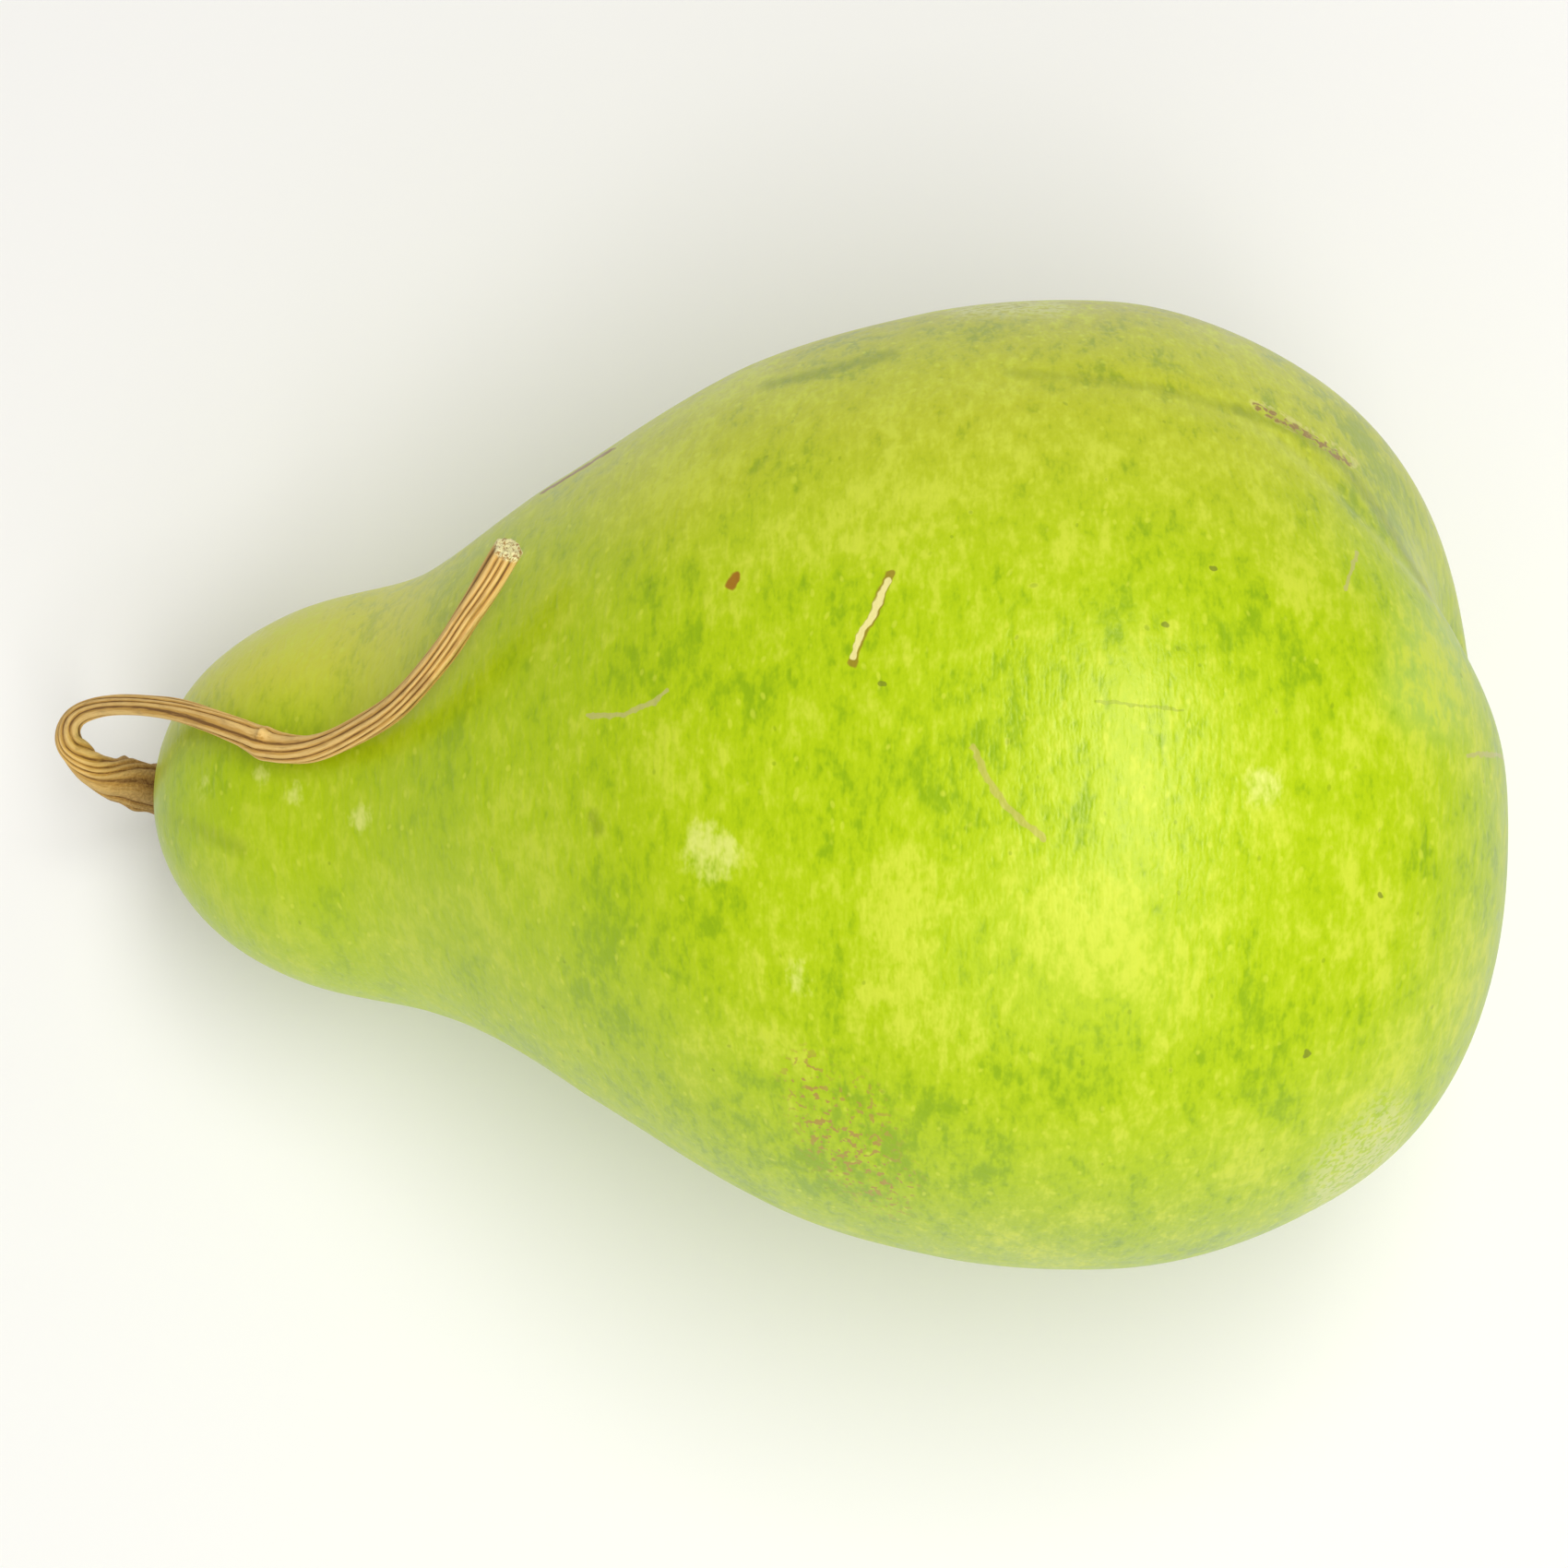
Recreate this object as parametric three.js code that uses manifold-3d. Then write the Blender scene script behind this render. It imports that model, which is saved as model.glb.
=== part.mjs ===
// A pear-shaped green pumpkin lying on its side, with its dried stem curled back along the neck.
// Millimetres, +Z up. The neck points to -X and droops to just above the ground, the blossom end points
// to +X, and the origin is on the ground under the middle of the whole thing.
import * as THREE from "three";
import { ParametricGeometry } from "three/addons/geometries/ParametricGeometry.js";
import { mergeVertices } from "three/addons/utils/BufferGeometryUtils.js";
import Module from "manifold-3d";

// Fruit: its axis from the stem end to the blossom end, evenly numbered, and at each station the radius
// of the round section before the ends close it in.
const FRUIT_STATIONS = [
  { axis: [-120, 11.5, 28], radius: 68 },
  { axis: [-95, 6.5, 47.5], radius: 61 },
  { axis: [-63, 4, 63], radius: 56 },
  { axis: [-29, 3.5, 76], radius: 70 },
  { axis: [6, 2.5, 86], radius: 88 },
  { axis: [40, 1, 92.5], radius: 101.5 },
  { axis: [76, 0, 97.3], radius: 116 },
  { axis: [112, 0.5, 99.3], radius: 135.5 },
  { axis: [157.5, 3, 98], radius: 167 },
];
const FRUIT_RINGS = 60; // steps from end to end
const FRUIT_SIDES = 48; // steps round the axis

// One broad furrow runs up from the blossom end between two lobes, beside the top.
const FURROW_DEPTH = 9;
const FURROW_ANGLE = THREE.MathUtils.degToRad(38); // from the top of the section towards +Y
const FURROW_WIDTH = THREE.MathUtils.degToRad(28);
const FURROW_START = 1.6; // along the fruit, 0 at the stem end and PI at the blossom end
const FURROW_FULL = 2.9;
const FURROW_END_FADE = 0.12; // how close to the blossom end it runs out
const BLOSSOM_DIMPLE_DEPTH = 5;
const BLOSSOM_DIMPLE_WIDTH = 0.25;

// Stem: its middle line from inside the neck's end, out, up round a tight curl and back over the neck
// to the cut, with the radius at each point.
const STEM_STATIONS = [
  { at: [-112, 11.5, 34], radius: 8.5 },
  { at: [-120, 11.5, 28], radius: 8 },
  { at: [-127, 11.5, 25.5], radius: 6.8 },
  { at: [-134, 11.5, 27], radius: 5.8 },
  { at: [-140.5, 12.2, 31.5], radius: 4.8 },
  { at: [-146, 14.5, 37.5], radius: 3.8 },
  { at: [-149.5, 18.8, 45.5], radius: 3 },
  { at: [-147, 22.2, 54], radius: 2.5 },
  { at: [-140.5, 23, 62.5], radius: 2.2 },
  { at: [-131.5, 21.5, 73], radius: 2.1 },
  { at: [-121, 18.3, 84], radius: 2.2 },
  { at: [-112.8, 14.8, 91.3], radius: 2.4 },
  { at: [-106.2, 11.4, 96], radius: 2.6 },
  { at: [-99.1, 7.7, 100.5], radius: 2.9 },
  { at: [-92.5, 5.8, 105], radius: 2.8 },
  { at: [-85.8, 5.8, 110.6], radius: 2.7 },
  { at: [-77.2, 8, 118.8], radius: 2.7 },
  { at: [-70.9, 10.4, 126], radius: 2.7 },
  { at: [-65.2, 14.4, 132.2], radius: 2.7 },
  { at: [-59.6, 20, 137.6], radius: 2.8 },
  { at: [-55.5, 25.4, 141], radius: 2.8 },
  { at: [-51.4, 31, 143.6], radius: 2.9 },
  { at: [-46.6, 39, 145.6], radius: 3 },
];
const STEM_RINGS = 96;
const STEM_SIDES = 12;
const STEM_GAP = 0.3; // clearance between the stem's base and the skin

const FULL_TURN = 2 * Math.PI;
const UP = new THREE.Vector3(0, 0, 1);

function curveThrough(points) {
  return new THREE.CatmullRomCurve3(points, false, "catmullrom", 0.5);
}

// A plain number that varies along a curve rides in x of a curve of its own.
function radiusCurve(stations) {
  return curveThrough(stations.map((s) => new THREE.Vector3(s.radius, 0, 0)));
}

const fruitAxis = curveThrough(FRUIT_STATIONS.map((s) => new THREE.Vector3(...s.axis)));
const fruitRadius = radiusCurve(FRUIT_STATIONS);

// How far the skin lies below the plain round form, at an angle along the fruit and one round it.
function skinDepth(along, around) {
  const toEnd = Math.PI - along;
  const onset = THREE.MathUtils.smoothstep(along, FURROW_START, FURROW_FULL);
  const turn = THREE.MathUtils.euclideanModulo(around - FURROW_ANGLE + Math.PI, FULL_TURN) - Math.PI;
  const across = Math.exp(-((turn / FURROW_WIDTH) ** 2));
  const endFade = 1 - Math.exp(-((toEnd / FURROW_END_FADE) ** 2));
  const dimple = BLOSSOM_DIMPLE_DEPTH * Math.exp(-((toEnd / BLOSSOM_DIMPLE_WIDTH) ** 2));
  return FURROW_DEPTH * onset * across * endFade + dimple;
}

// The closed form: round sections square to the axis, closed at both ends as an ellipsoid is.
// `grown` moves the whole skin outwards.
function fruitSolid(grown) {
  const tangent = new THREE.Vector3();
  const side = new THREE.Vector3();
  const top = new THREE.Vector3();
  return solidFrom(
    new ParametricGeometry(
      (u, v, target) => {
        const along = Math.PI * u;
        const share = (1 - Math.cos(along)) / 2;
        const closing = 2 * Math.sqrt(share * (1 - share));
        const around = FULL_TURN * (v % 1);
        fruitAxis.getTangent(share, tangent);
        side.crossVectors(UP, tangent).normalize();
        top.crossVectors(tangent, side);
        const depth = skinDepth(along, around) - grown;
        const out = closing * (fruitRadius.getPoint(share).x - depth);
        fruitAxis.getPoint(share, target);
        target.addScaledVector(top, out * Math.cos(around));
        target.addScaledVector(side, out * Math.sin(around));
        target.addScaledVector(tangent, depth * Math.cos(along));
      },
      FRUIT_RINGS,
      FRUIT_SIDES,
    ),
  );
}

// A closed tube of changing radius, carried along its curve without twist, with a flat end cap each.
function stemSolid() {
  const path = curveThrough(STEM_STATIONS.map((s) => new THREE.Vector3(...s.at)));
  const radius = radiusCurve(STEM_STATIONS);
  const frames = path.computeFrenetFrames(STEM_RINGS, false);
  return solidFrom(
    new ParametricGeometry(
      (u, v, target) => {
        // The first and last steps of the grid are the two caps.
        const step = THREE.MathUtils.clamp(Math.round(u * (STEM_RINGS + 2)) - 1, 0, STEM_RINGS);
        const cap = u === 0 || u === 1;
        const share = path.getUtoTmapping(step / STEM_RINGS);
        const around = FULL_TURN * (v % 1);
        const out = cap ? 0 : radius.getPoint(share).x;
        path.getPoint(share, target);
        target.addScaledVector(frames.normals[step], out * Math.cos(around));
        target.addScaledVector(frames.binormals[step], -out * Math.sin(around));
      },
      STEM_RINGS + 2,
      STEM_SIDES,
    ),
  );
}

const wasm = await Module();
wasm.setup();

// A grid surface as a closed solid: shared vertices merged, and the faces that shrink to a line at the
// ends left out.
function solidFrom(geometry) {
  geometry.deleteAttribute("normal");
  geometry.deleteAttribute("uv");
  const merged = mergeVertices(geometry);
  const corners = merged.index.array;
  const triVerts = [];
  for (let i = 0; i < corners.length; i += 3) {
    const [a, b, c] = corners.slice(i, i + 3);
    if (a !== b && b !== c && c !== a) triVerts.push(a, b, c);
  }
  return new wasm.Manifold(
    new wasm.Mesh({
      numProp: 3,
      vertProperties: merged.attributes.position.array,
      triVerts: new Uint32Array(triVerts),
    }),
  );
}

function meshFrom(solid, name, material) {
  const made = solid.getMesh();
  const geometry = new THREE.BufferGeometry();
  geometry.setAttribute("position", new THREE.BufferAttribute(made.vertProperties, 3));
  geometry.setIndex(new THREE.BufferAttribute(made.triVerts, 1));
  geometry.computeVertexNormals();
  const mesh = new THREE.Mesh(geometry, material);
  mesh.name = name;
  return mesh;
}

// Where the fruit's weight rests, the skin is pressed flat on the ground: nothing is lower than z = 0.
function flattenOnGround(mesh) {
  const place = mesh.geometry.attributes.position;
  for (let i = 0; i < place.count; i++) place.setZ(i, Math.max(place.getZ(i), 0));
  mesh.geometry.computeVertexNormals();
  return mesh;
}

const rind = new THREE.MeshStandardMaterial({ color: 0xb4d012, roughness: 0.38, metalness: 0 });
const driedStem = new THREE.MeshStandardMaterial({ color: 0xcfa052, roughness: 0.8, metalness: 0 });

const pumpkin = new THREE.Group();
pumpkin.add(flattenOnGround(meshFrom(fruitSolid(0), "fruit", rind)));
pumpkin.add(meshFrom(stemSolid().subtract(fruitSolid(STEM_GAP)), "stem", driedStem));

export default pumpkin;
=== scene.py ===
"""A pear-shaped green pumpkin lying on its side, its dried stem curled back over the neck.

Metres, +Z up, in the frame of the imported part: the neck points to -X, the blossom end to +X, and z = 0
is the ground.
"""

import math

import bpy
import numpy as np
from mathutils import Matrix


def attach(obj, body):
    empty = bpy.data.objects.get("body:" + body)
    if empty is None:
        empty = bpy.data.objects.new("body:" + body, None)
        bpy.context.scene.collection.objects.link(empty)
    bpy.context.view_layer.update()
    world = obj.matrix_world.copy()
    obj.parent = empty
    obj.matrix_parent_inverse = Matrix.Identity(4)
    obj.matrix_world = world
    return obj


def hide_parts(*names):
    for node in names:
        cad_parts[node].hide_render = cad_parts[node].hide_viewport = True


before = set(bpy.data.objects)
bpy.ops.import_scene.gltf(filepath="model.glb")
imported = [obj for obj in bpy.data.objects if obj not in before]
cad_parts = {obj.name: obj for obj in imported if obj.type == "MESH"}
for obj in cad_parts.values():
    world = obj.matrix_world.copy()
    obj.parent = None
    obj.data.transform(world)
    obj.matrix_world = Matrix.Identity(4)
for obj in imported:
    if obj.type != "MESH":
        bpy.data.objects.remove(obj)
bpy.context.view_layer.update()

scene = bpy.context.scene
scene.view_settings.view_transform = "Standard"

# ---------------------------------------------------------------- camera
# A long lens looks almost straight down on the fruit from a little in front of it, so the neck's own end
# and the blossom end both turn just out of sight.
CAMERA_TARGET = np.array([0.008, 0.006, 0.063])
CAMERA_ELEVATION = math.radians(80)
CAMERA_DISTANCE = 0.94

camera_data = bpy.data.cameras.new("camera")
camera_data.lens = 100
camera_data.sensor_width = 36
camera = bpy.data.objects.new("camera", camera_data)
towards_camera = np.array([0, -math.cos(CAMERA_ELEVATION), math.sin(CAMERA_ELEVATION)])
camera.location = CAMERA_TARGET + CAMERA_DISTANCE * towards_camera
camera.rotation_euler = (math.pi / 2 - CAMERA_ELEVATION, 0, 0)
scene.collection.objects.link(camera)
scene.camera = camera

# ---------------------------------------------------------------- floor and light
# A plain matt white table top, and the soft light of a white room: one long panel overhead, which gives
# the bulb its broad sheen, a large panel in front, and a paler wall behind.
floor_mesh = bpy.data.meshes.new("floor")
FLOOR_HALF = 4.0
corners = [(-1, -1), (1, -1), (1, 1), (-1, 1)]
floor_mesh.from_pydata([(FLOOR_HALF * x, FLOOR_HALF * y, 0) for x, y in corners], [], [(0, 1, 2, 3)])
floor = bpy.data.objects.new("floor", floor_mesh)
scene.collection.objects.link(floor)
floor_paint = bpy.data.materials.new("table_top")
floor_paint.use_nodes = True
table_shader = floor_paint.node_tree.nodes["Principled BSDF"]
table_shader.inputs["Base Color"].default_value = (0.93, 0.93, 0.92, 1)
table_shader.inputs["Roughness"].default_value = 0.85
table_shader.inputs["Specular IOR Level"].default_value = 0.2
floor_mesh.materials.append(floor_paint)


def soft_panel(name, place, aim, size, watts, colour):
    """A rectangular light of size (across, up) at `place`, turned to face `aim`."""
    lamp = bpy.data.lights.new(name, "AREA")
    lamp.shape = "RECTANGLE"
    lamp.size, lamp.size_y = size
    lamp.energy = watts
    lamp.color = colour
    holder = bpy.data.objects.new(name, lamp)
    direction = np.array(aim, float) - np.array(place, float)
    flat = math.hypot(direction[0], direction[1])
    holder.location = place
    holder.rotation_euler = (math.atan2(flat, -direction[2]), 0, math.atan2(-direction[0], direction[1]))
    scene.collection.objects.link(holder)


soft_panel("overhead_panel", (0.25, -0.15, 1.5), (0.25, -0.15, 0), (0.46, 1.6), 17.5, (1, 0.98, 0.95))
soft_panel("front_panel", (0.05, -1.3, 1.1), (-0.03, 0, 0.08), (1.2, 1.0), 6, (1, 0.98, 0.95))
soft_panel("back_wall", (-0.3, 1.9, 0.7), (0, 0, 0.1), (3.0, 1.2), 3, (1, 0.96, 0.9))

world = bpy.data.worlds.new("white_room")
scene.world = world
world.use_nodes = True
world.node_tree.nodes["Background"].inputs["Color"].default_value = (1, 1, 1, 1)
world.node_tree.nodes["Background"].inputs["Strength"].default_value = 0.33

# ---------------------------------------------------------------- fruit
# The whole pumpkin, neck and bulb, grown as one piece: a smooth waxy green rind over firm flesh. The neck
# droops, one broad furrow runs up from the blossom end between two lobes, and the belly is pressed flat
# where its weight rests on the ground.
FRUIT_AXIS = 0.001 * np.array([
    (-120, 11.5, 28), (-95, 6.5, 47.5), (-63, 4, 63), (-29, 3.5, 76), (6, 2.5, 86),
    (40, 1, 92.5), (76, 0, 97.3), (112, 0.5, 99.3), (157.5, 3, 98),
])
FRUIT_RADIUS = 0.001 * np.array([68, 61, 56, 70, 88, 101.5, 116, 135.5, 167])
FRUIT_RINGS = 360
FRUIT_SIDES = 270
FURROW_DEPTH = 0.009
FURROW_ANGLE = math.radians(38)
FURROW_WIDTH = math.radians(28)
FURROW_START, FURROW_FULL = 1.6, 2.9
BLOSSOM_DIMPLE_DEPTH = 0.005
CREASE_DEPTH = 0.0005
CREASE_WIDTH = math.radians(2.6)
GROUND_SOFTNESS = 0.0012


def curve_at(points, share):
    """Uniform Catmull-Rom curve through the points, at shares 0..1 of the way along: between two points
    it is the cubic that passes both with slopes set by their neighbours, the end ones reflected."""
    points = np.asarray(points, float)
    last = len(points) - 1
    place = np.clip(np.asarray(share, float), 0, 1) * last
    step = np.minimum(place.astype(int), last - 1)
    part = (place - step).reshape(place.shape + (1,) * (points.ndim - 1))
    longer = np.concatenate([2 * points[:1] - points[1:2], points, 2 * points[-1:] - points[-2:-1]])
    a, b, c, d = (longer[step + k] for k in range(4))
    return b + 0.5 * part * ((c - a) + part * ((2 * a - 5 * b + 4 * c - d) + part * (3 * (b - c) + d - a)))


def directions_at(points, share):
    """Unit tangent of the curve at the shares, from points a hair apart."""
    hair = 1e-4
    along = curve_at(points, np.minimum(share + hair, 1)) - curve_at(points, np.maximum(share - hair, 0))
    return along / np.linalg.norm(along, axis=-1, keepdims=True)


def smooth_step(low, high, value):
    """0 below low, 1 above high, and an S-shaped rise 3t^2 - 2t^3 between them."""
    t = np.clip((value - low) / (high - low), 0, 1)
    return t * t * (3 - 2 * t)


def turn_from(angle, centre):
    """The signed turn from centre to angle, in -pi..pi."""
    return (angle - centre + math.pi) % (2 * math.pi) - math.pi


def ripple(along, around, waves, longest, seed):
    """A gentle seeded unevenness of size about 1: a sum of sine waves, each with a whole number of turns
    round the section so that it closes, and a random number of turns along."""
    dice = np.random.default_rng(seed)
    total = np.zeros(np.broadcast(along, around).shape)
    for _ in range(waves):
        turns_along = dice.uniform(-longest, longest)
        turns_round = dice.integers(0, longest + 1)
        total += np.sin(turns_along * along + turns_round * around + dice.uniform(0, 2 * math.pi))
    return total / math.sqrt(waves / 2)


def with_ends(grid):
    """The values of a grid (rings, sides, ...) in one row, then the mean of its first and last ring."""
    return np.concatenate([grid.reshape(-1, *grid.shape[2:]), grid[:1].mean(1), grid[-1:].mean(1)])


def closed_skin(name, rings):
    """A closed surface from rings of points, shape (rings, sides, 3): quads between neighbouring rings, and
    a fan of triangles from the middle of the first and of the last ring."""
    count, sides = rings.shape[:2]
    points = with_ends(rings)
    ring, side = np.meshgrid(np.arange(count - 1), np.arange(sides), indexing="ij")
    after = (side + 1) % sides
    quads = np.stack([ring * sides + side, ring * sides + after,
                      (ring + 1) * sides + after, (ring + 1) * sides + side], -1).reshape(-1, 4)
    one = np.arange(sides)
    two = (one + 1) % sides
    start, end = count * sides, count * sides + 1
    last = (count - 1) * sides
    fans = np.concatenate([np.stack([np.full(sides, start), two, one], -1),
                           np.stack([np.full(sides, end), last + one, last + two], -1)])
    mesh = bpy.data.meshes.new(name)
    mesh.from_pydata(points.tolist(), [], quads.tolist() + fans.tolist())
    mesh.polygons.foreach_set("use_smooth", np.ones(len(mesh.polygons), bool))
    piece = bpy.data.objects.new(name, mesh)
    scene.collection.objects.link(piece)
    return piece


def crease_angle(along):
    """The thin crease in the furrow keeps its angle along the bulb and bends towards the top at the end."""
    return math.radians(43.5) - math.radians(17) * smooth_step(2.35, 2.7, along)


def fruit_rings():
    """Round sections square to the axis, each of radius `radius at the station` times sin(along), so both
    ends close as an ellipsoid's do. The furrow, the crease in it, the blossom dimple and a slight
    unevenness sink the skin along a direction that turns from square to the axis at mid-fruit to along
    the axis at the ends. Last, heights are pressed up to the ground with a rounded corner."""
    along = np.linspace(0, math.pi, FRUIT_RINGS + 2)[1:-1, None]
    around = -np.linspace(0, 2 * math.pi, FRUIT_SIDES, endpoint=False)[None, :]
    share = (1 - np.cos(along[:, 0])) / 2
    centre = curve_at(FRUIT_AXIS, share)
    tangent = directions_at(FRUIT_AXIS, share)
    side = np.cross((0, 0, 1), tangent)
    side /= np.linalg.norm(side, axis=1, keepdims=True)
    top = np.cross(tangent, side)
    to_end = math.pi - along
    across = np.exp(-(turn_from(around, FURROW_ANGLE) / FURROW_WIDTH) ** 2)
    depth = FURROW_DEPTH * smooth_step(FURROW_START, FURROW_FULL, along) * across
    depth = depth * (1 - np.exp(-(to_end / 0.12) ** 2))
    crease = np.exp(-(turn_from(around, crease_angle(along)) / CREASE_WIDTH) ** 2)
    crease = crease * smooth_step(1.7, 2.3, along) * smooth_step(0.1, 0.3, to_end)
    depth = depth + CREASE_DEPTH * crease
    depth = depth + BLOSSOM_DIMPLE_DEPTH * np.exp(-(to_end / 0.25) ** 2)
    depth = depth + 0.00022 * (1.3 + ripple(along, around, 14, 7, seed=3)) * np.sin(along)
    depth = depth + 0.0011 * np.exp(-(along / 0.16) ** 2) * (1 + np.cos(5 * around))
    closing = np.sin(along)
    out = closing * (curve_at(FRUIT_RADIUS, share)[:, None] - depth)
    ring = np.cos(around)[..., None] * top[:, None] + np.sin(around)[..., None] * side[:, None]
    rings = centre[:, None] + out[..., None] * ring + (depth * np.cos(along))[..., None] * tangent[:, None]
    height = rings[..., 2]
    rings[..., 2] = (height + np.sqrt(height ** 2 + GROUND_SOFTNESS ** 2)) / 2
    return rings


rings = fruit_rings()
fruit = closed_skin("pumpkin_fruit", rings)


def soft_patches(points, patches):
    """How much each point lies in the patches, seen from above: for each patch (stops, reach, amount) in
    mm, amount times a smooth step of the distance to the line of stops, nothing at reach; summed."""
    total = np.zeros(len(points))
    for stops, reach, amount in patches:
        nearest = np.full(len(points), np.inf)
        for a, b in zip(stops, stops[1:] or stops):
            a, step = 0.001 * np.array(a, float), 0.001 * (np.array(b, float) - a)
            off = points[:, :2] - a
            share = np.clip(off @ step / max(step @ step, 1e-12), 0, 1)[:, None]
            nearest = np.minimum(nearest, np.linalg.norm(off - share * step, axis=1))
        total += amount * smooth_step(0.001 * reach, 0.00015 * reach, nearest)
    return total * smooth_step(0.05, 0.08, points[:, 2])


CLOUDS = [
    ([(29, -36), (27, -50)], 12, 0.16), ([(64, -42), (79, -52)], 16, 0.16), ([(121, -43)], 15, 0.16),
    ([(128, -5), (131, 8)], 20, 0.1), ([(27, 41), (60, 43)], 24, 0.08), ([(105, 30)], 20, 0.08),
    ([(-11, -38), (-24, -34)], 14, -0.14), ([(8, -72), (40, -80)], 18, -0.06), ([(100, -66)], 18, -0.04),
    ([(122, 60), (128, 48)], 16, -0.14), ([(40, 4), (62, 6)], 16, -0.07), ([(0, 0), (-14, 10)], 15, -0.08),
]
PALE_SPOTS = [
    ([(-7, -25), (-5, -27)], 8, 1), ([(97, -17)], 6.5, 1), ([(-79, -9)], 5, 0.8), ([(-93, -2)], 4.5, 0.7),
    ([(-101, 3)], 4.5, 0.7), ([(-114, 2)], 5, 0.7), ([(11, -50)], 5, 0.7),
]
SCUFFS = [([(127, -76), (118, -84)], 10, 1), ([(46, 92), (62, 91)], 7, 1)]
RUSSET = [([(12, -67), (16, -78), (22, -83), (30, -87)], 7, 1), ([(22, -72), (26, -78)], 7, 0.8)]
BLUISH = [([(131, 4), (134, 14)], 15, 1)]
skin_points = with_ends(rings)
for name, values in (
    ("cloud", soft_patches(skin_points, CLOUDS)),
    ("pale_spot", soft_patches(skin_points, PALE_SPOTS)),
    ("scuff", soft_patches(skin_points, SCUFFS)),
    ("bluish", soft_patches(skin_points, BLUISH)),
    ("russet", soft_patches(skin_points, RUSSET)),
):
    fruit.data.attributes.new(name, "FLOAT", "POINT").data.foreach_set("value", values.astype(np.float32))


class Paint:
    """A procedural material: each method adds one node, wires it up and hands back its output."""

    def __init__(self, name):
        self.material = bpy.data.materials.new(name)
        self.material.use_nodes = True
        self.nodes = self.material.node_tree.nodes
        self.links = self.material.node_tree.links
        self.shader = self.nodes["Principled BSDF"]
        self.place = self.nodes.new("ShaderNodeTexCoord").outputs["Object"]

    def put(self, socket, value):
        if isinstance(value, bpy.types.NodeSocket):
            self.links.new(value, socket)
        else:
            socket.default_value = value

    def stretched(self, vector, scale):
        node = self.nodes.new("ShaderNodeMapping")
        self.put(node.inputs["Vector"], vector)
        node.inputs["Scale"].default_value = scale
        return node.outputs["Vector"]

    def noise(self, vector, per_metre, detail=3, roughness=0.55, colour=False):
        node = self.nodes.new("ShaderNodeTexNoise")
        self.put(node.inputs["Vector"], vector)
        node.inputs["Scale"].default_value = per_metre
        node.inputs["Detail"].default_value = detail
        node.inputs["Roughness"].default_value = roughness
        return node.outputs["Color" if colour else "Fac"]

    def cells(self, vector, per_metre):
        node = self.nodes.new("ShaderNodeTexVoronoi")
        self.put(node.inputs["Vector"], vector)
        node.inputs["Scale"].default_value = per_metre
        return node.outputs["Distance"], node.outputs["Color"]

    def sums(self, operation, first, second, limit=False):
        node = self.nodes.new("ShaderNodeMath")
        node.operation = operation
        node.use_clamp = limit
        for socket, value in zip(node.inputs, (first, second)):
            self.put(socket, value)
        return node.outputs["Value"]

    def rise(self, value, low, high, start=0.0, end=1.0):
        node = self.nodes.new("ShaderNodeMapRange")
        node.interpolation_type = "SMOOTHSTEP"
        for socket, number in (("Value", value), ("From Min", low), ("From Max", high),
                               ("To Min", start), ("To Max", end)):
            self.put(node.inputs[socket], number)
        return node.outputs["Result"]

    def vectors(self, operation, first, second=(0, 0, 0), scale=None):
        node = self.nodes.new("ShaderNodeVectorMath")
        node.operation = operation
        self.put(node.inputs[0], first)
        if scale is None:
            self.put(node.inputs[1], second)
        else:
            self.put(node.inputs["Scale"], scale)
        return node.outputs["Value" if operation in ("DOT_PRODUCT", "LENGTH", "DISTANCE") else "Vector"]

    def axes(self, vector):
        node = self.nodes.new("ShaderNodeSeparateXYZ")
        self.put(node.inputs["Vector"], vector)
        return node.outputs

    def over(self, amount, under, colour, blend="MIX"):
        node = self.nodes.new("ShaderNodeMix")
        node.data_type = "RGBA"
        node.blend_type = blend
        self.put(node.inputs["Factor"], amount)
        self.put(node.inputs["A"], under)
        self.put(node.inputs["B"], colour)
        return node.outputs["Result"]

    def way_to(self, place, stops, unit=0.001):
        """Distance from `place` to a line of straight steps through the stops: for each step, to the point
        a + h (b - a), h being the share of the way where the place lies square to it, held to 0..1."""
        nearest = None
        for a, b in zip(stops[:-1], stops[1:]):
            a, b = (unit * np.array((*stop, 0.0)) for stop in (a, b))
            step = b - a
            off = self.vectors("SUBTRACT", place, tuple(a))
            share = self.vectors("DOT_PRODUCT", off, tuple(step / (step @ step)))
            share = self.sums("ADD", share, 0.0, limit=True)
            foot = self.vectors("SCALE", tuple(step), scale=share)
            far = self.vectors("DISTANCE", off, foot)
            nearest = far if nearest is None else self.sums("MINIMUM", nearest, far)
        return nearest

    def attribute(self, name, output="Fac"):
        node = self.nodes.new("ShaderNodeAttribute")
        node.attribute_name = name
        return node.outputs[output]

    def relief(self, height, metres, under=None):
        node = self.nodes.new("ShaderNodeBump")
        node.inputs["Strength"].default_value = 1
        node.inputs["Distance"].default_value = metres
        self.put(node.inputs["Height"], height)
        if under is not None:
            self.put(node.inputs["Normal"], under)
        return node.outputs["Normal"]


def shade(red, green, blue):
    """A screen colour of 0..255 a channel as the linear colour that a shader takes."""
    screen = np.array([red, green, blue]) / 255
    linear = np.where(screen > 0.04045, ((screen + 0.055) / 1.055) ** 2.4, screen / 12.92)
    return (*linear.tolist(), 1)


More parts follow.
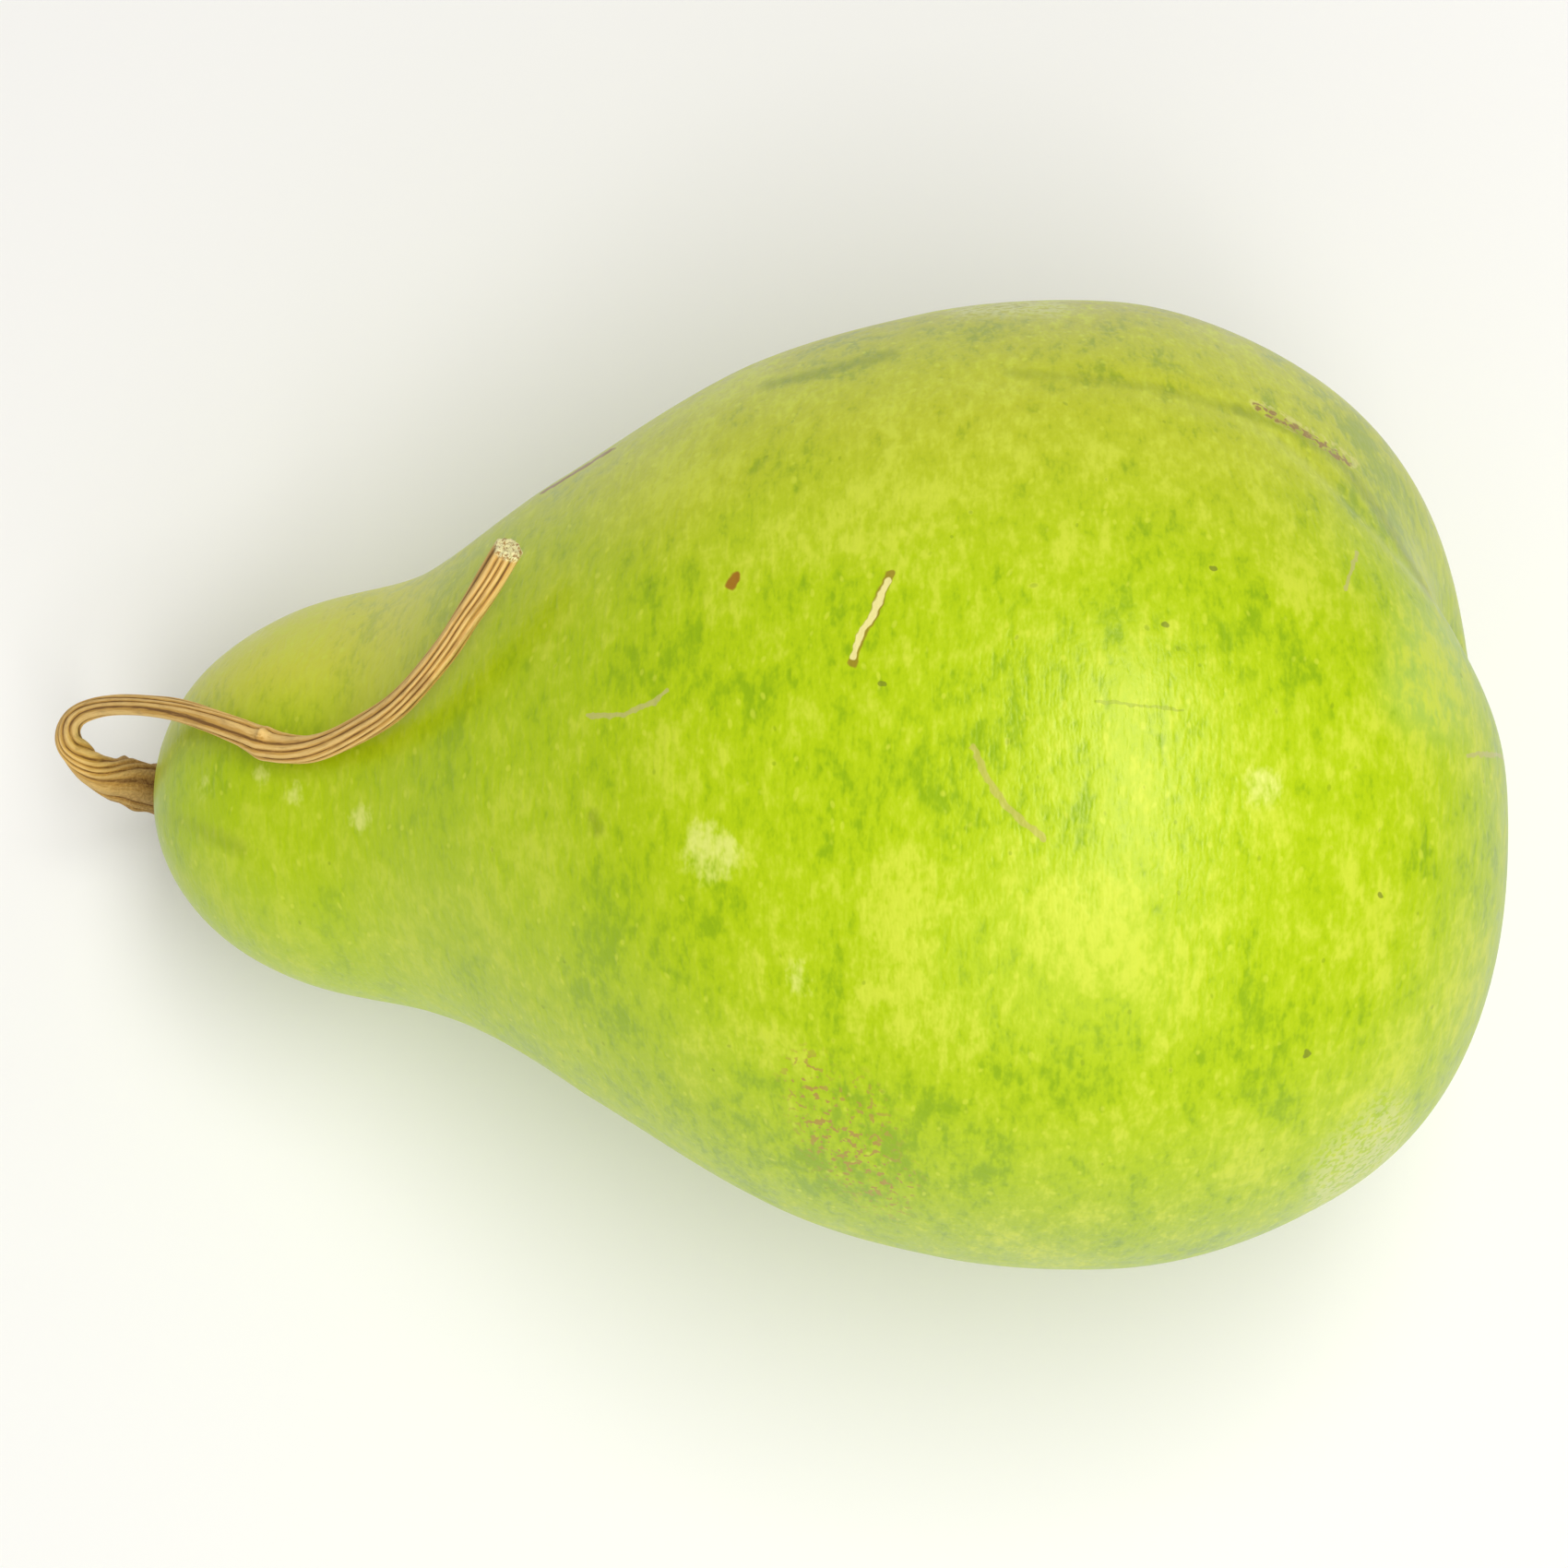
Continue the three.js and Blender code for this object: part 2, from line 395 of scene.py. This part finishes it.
RIND_GREEN = shade(177, 204, 0)
RIND_PALE = shade(212, 224, 66)
RIND_DEEP = shade(140, 172, 0)
RIND_WARM = shade(204, 200, 44)
RIND_OLIVE = shade(178, 176, 62)
RIND_BLUISH = shade(172, 206, 116)
GROUND_YELLOW = shade(224, 214, 120)
CORK_TAN = shade(200, 172, 96)
CORK_BROWN = shade(140, 92, 40)
SCAR_CREAM = shade(236, 226, 150)
SCRATCH_GREY = shade(192, 190, 110)

rind = Paint("waxy_green_rind")
place = rind.place
x, y, z = rind.axes(place)
wander = rind.vectors("SUBTRACT", rind.noise(place, 60, 1, colour=True), (0.5, 0.5, 0.5))
loose_place = rind.vectors("ADD", place, rind.vectors("SCALE", wander, scale=0.008))
shiver = rind.vectors("SUBTRACT", rind.noise(place, 420, 1, colour=True), (0.5, 0.5, 0.5))
upper_side = rind.rise(z, 0.06, 0.09)
seen = rind.vectors("ADD", place, rind.vectors("SCALE", shiver, scale=0.0016))
seen = rind.vectors("MULTIPLY", seen, (1, 1, 0))

# Broad clouds, then patches, then fine short streaks that run round the fruit.
clouds = rind.noise(loose_place, 22, 2, 0.55)
patches = rind.noise(rind.stretched(loose_place, (1, 0.6, 0.6)), 75, 3, 0.62)
streaks = rind.noise(rind.stretched(place, (1, 0.3, 0.3)), 800, 1, 0.6)
fleece = rind.noise(rind.stretched(place, (1, 0.6, 0.6)), 260, 3, 0.75)
lively = rind.rise(x, -0.09, 0.03, 0.6, 1.0)
tone = rind.sums("ADD", rind.sums("MULTIPLY", clouds, 0.5), rind.sums("MULTIPLY", patches, 0.5))
tone = rind.sums("ADD", tone, rind.sums("MULTIPLY", rind.sums("SUBTRACT", streaks, 0.5), 0.28))
tone = rind.sums("ADD", tone, rind.sums("MULTIPLY", rind.sums("SUBTRACT", fleece, 0.5), 0.75))
tone = rind.sums("ADD", tone, rind.attribute("cloud"))

# The ground colour: warmer and then duller towards +Y, which is painted grey reflection and shade on the far
# side, and deeper on the low side towards -Y, which is painted shade on the near side.
painted_far_side = rind.sums("ADD", y, rind.sums("MULTIPLY", clouds, 0.03))
colour = rind.over(rind.rise(painted_far_side, 0.03, 0.085, 0, 0.55), RIND_GREEN, RIND_WARM)
colour = rind.over(rind.rise(painted_far_side, 0.085, 0.118, 0, 0.7), colour, RIND_OLIVE)
# The neck's top paler and duller: painted grey reflection and shade, as on the far side.
neck_top_painted_sheen = rind.sums("MULTIPLY", rind.rise(x, -0.045, -0.075), rind.rise(painted_far_side, 0.015, 0.045, 0, 0.8))
colour = rind.over(neck_top_painted_sheen, colour, shade(214, 214, 62))
# Deeper green towards -Y: painted shade on the near side.
colour = rind.over(rind.rise(y, -0.08, -0.105, 0, 0.3), colour, RIND_DEEP)
colour = rind.over(rind.sums("MULTIPLY", rind.attribute("bluish"), 0.45), colour, RIND_BLUISH)
belly = rind.rise(rind.sums("ADD", z, rind.sums("MULTIPLY", clouds, 0.02)), 0.032, 0.018)
colour = rind.over(rind.sums("MULTIPLY", belly, 0.7), colour, GROUND_YELLOW)

pale_share = rind.sums("MULTIPLY", rind.rise(tone, 0.47, 0.74), lively)
deep_share = rind.sums("MULTIPLY", rind.rise(tone, 0.5, 0.26), lively)
colour = rind.over(rind.sums("MULTIPLY", pale_share, 0.75), colour, RIND_PALE)
colour = rind.over(rind.sums("MULTIPLY", deep_share, 0.9), colour, shade(202, 220, 120), "MULTIPLY")

# Pale freckles and a few small dark ones.
gap, spot_colour = rind.cells(rind.stretched(loose_place, (1, 0.7, 0.7)), 420)
chance = rind.axes(spot_colour)
freckle = rind.sums("MULTIPLY", rind.rise(gap, 0.3, 0.12), rind.rise(chance[0], 0.72, 0.78))
colour = rind.over(rind.sums("MULTIPLY", freckle, 0.5), colour, RIND_PALE)
freckle = rind.sums("MULTIPLY", rind.rise(gap, 0.22, 0.1), rind.rise(chance[1], 0.95, 0.96))
colour = rind.over(rind.sums("MULTIPLY", freckle, 0.4), colour, shade(120, 146, 10))
worn = rind.sums("MULTIPLY", rind.sums("SUBTRACT", fleece, 0.5), 2.4)
spots = rind.rise(rind.sums("ADD", rind.attribute("pale_spot"), worn), 0.3, 1.3, 0, 0.95)
spots = rind.sums("MULTIPLY", spots, rind.rise(rind.attribute("pale_spot"), 0.0, 0.35))
colour = rind.over(spots, colour, shade(222, 230, 118))

# Scars, scratches and scabs on the upper side, each a thin line that wavers, and painted shade darkening the
# furrow's crease.
broken = rind.noise(place, 700, 1, 0.6)
ragged = rind.rise(broken, 0.4, 0.55)


def line(stops, reach, amount=1.0, whole=True, soft=False):
    """A thin mark along the stops (mm), `reach` mm to each side, with a crisp or a soft edge; broken up
    by noise if not whole."""
    mark = rind.rise(rind.way_to(seen, stops), 0.001 * reach, 0.0 if soft else 0.0006 * reach, 0, amount)
    mark = rind.sums("MULTIPLY", mark, upper_side)
    return mark if whole else rind.sums("MULTIPLY", mark, ragged)


# The first two lines darken the furrow's crease: painted shade in the crease.
FURROW_SHADE = shade(126, 146, 16)
furrow_line = [(52, 69.5), (80, 66), (97, 62.5), (108, 59.5), (118, 53), (127, 41), (134.5, 27.5)]
for stops, reach, amount, ink in (
    (furrow_line[:3], 2.4, 0.3, FURROW_SHADE),
    (furrow_line[2:], 2.6, 0.5, FURROW_SHADE),
    ([(5, 73), (17, 74.5), (29, 77.5)], 3, 0.5, shade(118, 142, 10)),
    ([(-126, -1), (-117, -6), (-106, -12)], 3, 0.35, shade(128, 150, 16)),
    ([(-29, -17), (-28, -20)], 2, 0.5, shade(118, 140, 10)),
):
    colour = rind.over(line(stops, reach, amount, soft=True), colour, ink)
for stops, reach, amount, whole, ink in (
    ([(66, -2), (82, -3.5)], 0.4, 0.5, True, shade(140, 160, 30)),
    ([(118, 31.5), (114.5, 23)], 0.5, 0.8, True, SCRATCH_GREY),
    ([(139, -7), (150, -3)], 0.6, 0.8, True, SCRATCH_GREY),
    ([(-30, 2.5), (-23, 1.6), (-17, 3.2), (-14.5, 5)], 0.6, 0.85, True, SCRATCH_GREY),
    ([(43, -10), (46, -16.5), (50, -22), (56, -27)], 0.75, 0.8, True, shade(186, 182, 84)),
    ([(-42, 59.5), (-27.5, 66)], 0.9, 0.9, True, CORK_BROWN),
    ([(28, 24.4), (25, 17), (22.5, 12.5), (20.8, 7)], 1.1, 0.85, True, shade(150, 122, 34)),
    ([(27.6, 23), (24.8, 17), (22.5, 13), (21, 8.6)], 0.8, 1.0, True, SCAR_CREAM),
    ([(-2, 25.2), (-1.2, 26.8)], 1.3, 0.95, True, shade(160, 104, 20)),
    ([(101, 64.5), (108, 61), (120, 55)], 2.2, 0.4, False, SCAR_CREAM),
    ([(101, 64), (108, 60.5), (119, 54.5)], 1.4, 0.8, False, CORK_BROWN),
):
    colour = rind.over(line(stops, reach, amount, whole), colour, ink)
russet = rind.sums("MULTIPLY", rind.attribute("russet"), rind.rise(broken, 0.56, 0.64))
colour = rind.over(russet, colour, shade(176, 150, 60))
for pit in ((26, 2.5), (120, -35.5), (107, -64), (88.5, 25), (79, 13)):
    colour = rind.over(line([pit, (pit[0] + 0.3, pit[1])], 0.65, 0.7), colour, shade(106, 116, 30))
scuffs = rind.sums("MULTIPLY", rind.attribute("scuff"), ragged)
colour = rind.over(rind.sums("MULTIPLY", scuffs, 0.7), colour, shade(214, 220, 140))

# The corky scar where the flower was, and the dull collar of skin round the stem.
frayed = rind.sums("MULTIPLY", rind.sums("SUBTRACT", patches, 0.5), 0.006)
to_blossom = rind.vectors("DISTANCE", place, tuple(rings[-1].mean(0)))
colour = rind.over(rind.rise(rind.sums("ADD", to_blossom, frayed), 0.011, 0.005, 0, 0.5), colour, RIND_OLIVE)
scar = rind.rise(rind.sums("ADD", to_blossom, frayed), 0.0052, 0.0042)
colour = rind.over(scar, colour, rind.over(ragged, CORK_BROWN, CORK_TAN))
STEM_ROOT = (-0.1245, 0.0115, 0.0265)
to_stem = rind.vectors("DISTANCE", place, STEM_ROOT)
colour = rind.over(rind.rise(rind.sums("ADD", to_stem, frayed), 0.014, 0.009, 0, 0.55), colour, CORK_TAN)

rind.put(rind.shader.inputs["Base Color"], colour)
rind.put(rind.shader.inputs["Roughness"], rind.rise(fleece, 0.3, 0.7, 0.3, 0.4))
rind.shader.inputs["Specular IOR Level"].default_value = 0.5
rind.shader.inputs["Specular Tint"].default_value = (1, 0.94, 0.6, 1)
low_relief = rind.relief(rind.sums("ADD", streaks, rind.sums("MULTIPLY", fleece, 1.5)), 0.00013)
rind.put(rind.shader.inputs["Normal"], low_relief)
fruit.data.materials.append(rind.material)
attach(fruit, "root")
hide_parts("fruit")

# ---------------------------------------------------------------- stem
# The fruit's own dried stem, woody and ribbed, cut from the vine: corky where it grips the fruit, twisted
# in a tight curl past the neck's end, then lying back along the neck to its pale cut end.
STEM_PATH = 0.001 * np.array([
    (-112, 11.5, 34), (-120, 11.5, 28), (-127, 11.5, 25.5), (-134, 11.5, 27), (-140.5, 12.2, 31.5),
    (-146, 14.5, 37.5), (-149.5, 18.8, 45.5), (-147, 22.2, 54), (-140.5, 23, 62.5), (-131.5, 21.5, 73),
    (-121, 18.3, 84), (-112.8, 14.8, 91.3), (-106.2, 11.4, 96), (-99.1, 7.7, 100.5), (-92.5, 5.8, 105),
    (-85.8, 5.8, 110.6), (-77.2, 8, 118.8), (-70.9, 10.4, 126), (-65.2, 14.4, 132.2), (-59.6, 20, 137.6),
    (-55.5, 25.4, 141), (-51.4, 31, 143.6), (-46.6, 39, 145.6),
])
STEM_RADIUS = 0.001 * np.array([8.5, 8, 6.8, 5.8, 4.8, 3.8, 3, 2.5, 2.2, 2.1, 2.2, 2.4, 2.6, 2.9, 2.8, 2.7,
                                2.7, 2.7, 2.7, 2.8, 2.8, 2.9, 3])
STEM_RINGS = 640
STEM_SIDES = 100
STEM_RIBS = 9
CUT_RINGS = 10
CUT_SLANT = 0.0016


def stem_rings():
    """A section carried along the path. Its radius is the station's times a sum of 0.95, ribs
    |cos(ribs/2 * angle)| with sharp grooves between, fine threads and a seeded unevenness, and bumps that
    fall off as exp(-distance^2) for the node, its nub and the knob; it twists as it goes. The cut end
    closes in rings that shrink to the middle, slanted and torn."""
    share = np.linspace(0, 1, STEM_RINGS)
    centre = curve_at(STEM_PATH, share)
    tangent = directions_at(STEM_PATH, share)
    side = np.array([0.0, 1, 0]) - tangent[:, 1:2] * tangent
    side /= np.linalg.norm(side, axis=1, keepdims=True)
    top = np.cross(tangent, side)
    length = np.append(0, np.cumsum(np.linalg.norm(np.diff(centre, axis=0), axis=1)))[:, None]
    around = np.linspace(0, 2 * math.pi, STEM_SIDES, endpoint=False)[None, :]
    s = share[:, None]
    twist = 5.2 * smooth_step(0.16, 0.36, s) + 1.4 * smooth_step(0.4, 0.75, s)
    angle = around + twist
    uneven_angle = angle + 0.22 * np.sin(2 * angle + 1) + 0.1 * np.sin(3 * angle + 60 * length)
    rib = np.abs(np.cos(STEM_RIBS / 2 * uneven_angle))
    threads = np.sin(17 * angle + 2 * np.sin(90 * length)) + 0.7 * np.sin(29 * angle + 1 + 150 * length)
    corky = smooth_step(0.26, 0.12, s)
    uneven = ripple(60 * length, angle, 12, 5, seed=5)
    lumps = ripple(300 * length, angle, 16, 4, seed=9)
    node = np.exp(-((s - 0.585) / 0.012) ** 2)
    knob = np.exp(-((s - 0.172) / 0.013) ** 2 - (turn_from(around, 0.2) / 0.6) ** 2)
    nub = np.exp(-((s - 0.588) / 0.006) ** 2 - (turn_from(around, 0.9) / 0.5) ** 2)
    out = curve_at(STEM_RADIUS, share)[:, None]
    out = out * (0.95 + 0.17 * (rib - 0.7) + 0.012 * threads + 0.02 * uneven + 0.05 * corky * lumps)
    out = out * (1 + 0.1 * np.cos(2 * around + 0.6) * smooth_step(0.2, 0.4, s))
    out = out * (1 + 0.1 * node + 0.45 * nub + 0.4 * knob)
    ring = np.cos(around)[..., None] * side[:, None] + np.sin(around)[..., None] * top[:, None]
    body = centre[:, None] + out[..., None] * ring
    shrink = np.linspace(1, 0.06, CUT_RINGS)[:, None]
    torn = ripple(9 * shrink, around, 14, 9, seed=21)
    slant = -CUT_SLANT * ring[-1][:, 2] * shrink
    lift = slant + 0.0003 * (1 - shrink ** 6) + 0.00022 * torn * (1 - shrink ** 8)
    flare = smooth_step(0.965, 1, s)
    body += (flare ** 2 * -CUT_SLANT * ring[-1][:, 2])[..., None] * tangent[:, None]
    cut = centre[-1] + (shrink * out[-1])[..., None] * ring[-1] + lift[..., None] * tangent[-1]
    rings = np.concatenate([body, cut[1:]])
    rib = np.concatenate([rib, np.repeat(rib[-1:], CUT_RINGS - 1, 0)])
    straight = np.stack(np.broadcast_arrays(length, out * np.cos(angle), out * np.sin(angle)), -1)
    inward = shrink[1:] * out[-1:]
    straight_cut = np.stack(np.broadcast_arrays(
        length[-1:], inward * np.cos(angle[-1:]), inward * np.sin(angle[-1:])), -1)
    cut_share = np.concatenate([smooth_step(0.992, 0.999, share)[:, None] * np.ones(STEM_SIDES),
                                np.ones((CUT_RINGS - 1, STEM_SIDES))])
    return rings, rib, np.concatenate([straight, straight_cut]), cut_share


rings, rib, straight, cut_share = stem_rings()
stem = closed_skin("pumpkin_stem", rings)
for name, values in (("rib", rib), ("cut", cut_share)):
    marks = stem.data.attributes.new(name, "FLOAT", "POINT")
    marks.data.foreach_set("value", with_ends(values).astype(np.float32))
grain_marks = stem.data.attributes.new("grain", "FLOAT_VECTOR", "POINT")
grain_marks.data.foreach_set("vector", with_ends(straight).ravel().astype(np.float32))

# STEM_GOLD paints highlight on the rib tops; STEM_GROOVE paints shade in the grooves between the ribs, and
# also the dark crumbs of the corky bark.
STEM_TAN = shade(208, 162, 80)
STEM_GOLD = shade(238, 200, 124)
STEM_GROOVE = shade(116, 78, 36)
STEM_BARK = shade(172, 134, 78)
STEM_CUT = shade(240, 232, 176)

wood = Paint("dried_stem")
grain = wood.attribute("grain", "Vector")
along_stem = wood.axes(grain)[0]
ribs = wood.attribute("rib")
cut = wood.attribute("cut")
fibres = wood.noise(wood.stretched(grain, (0.06, 1, 1)), 2600, 4, 0.6)
blotches = wood.noise(wood.stretched(grain, (0.3, 1, 1)), 500, 3, 0.6)
crumbs = wood.noise(grain, 1400, 4, 0.7)
bark = wood.rise(along_stem, 0.048, 0.026)
# Gold on the rib tops and dark in the grooves, following the rib shape and the fibre streaks: painted
# highlight and shade on the ribs, mixed with fibre streaks.
ridge = wood.sums("ADD", ribs, wood.sums("MULTIPLY", wood.sums("SUBTRACT", fibres, 0.5), 1.2))
bare = wood.over(wood.rise(ridge, 0.5, 1.0), STEM_TAN, STEM_GOLD)
bare = wood.over(wood.rise(blotches, 0.5, 0.75, 0, 0.55), bare, STEM_BARK)
groove = wood.rise(ridge, 0.5, 0.1, 0, 0.9)
bare = wood.over(groove, bare, STEM_GROOVE)
rough_bark = wood.over(wood.rise(crumbs, 0.4, 0.62), STEM_GROOVE, STEM_BARK)
rough_bark = wood.over(wood.rise(crumbs, 0.58, 0.75, 0, 0.7), rough_bark, STEM_TAN)
bare = wood.over(wood.sums("MULTIPLY", bark, 0.65), bare, rough_bark)
split = wood.over(wood.rise(crumbs, 0.42, 0.5), STEM_BARK, STEM_CUT)
wood.put(wood.shader.inputs["Base Color"], wood.over(cut, bare, split))
wood.shader.inputs["Roughness"].default_value = 0.72
wood.shader.inputs["Specular IOR Level"].default_value = 0.3
threads = wood.relief(fibres, 0.00025)
wood.put(wood.shader.inputs["Normal"], wood.relief(wood.sums("MULTIPLY", crumbs, bark), 0.0006, threads))
stem.data.materials.append(wood.material)
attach(stem, "root")
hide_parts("stem")
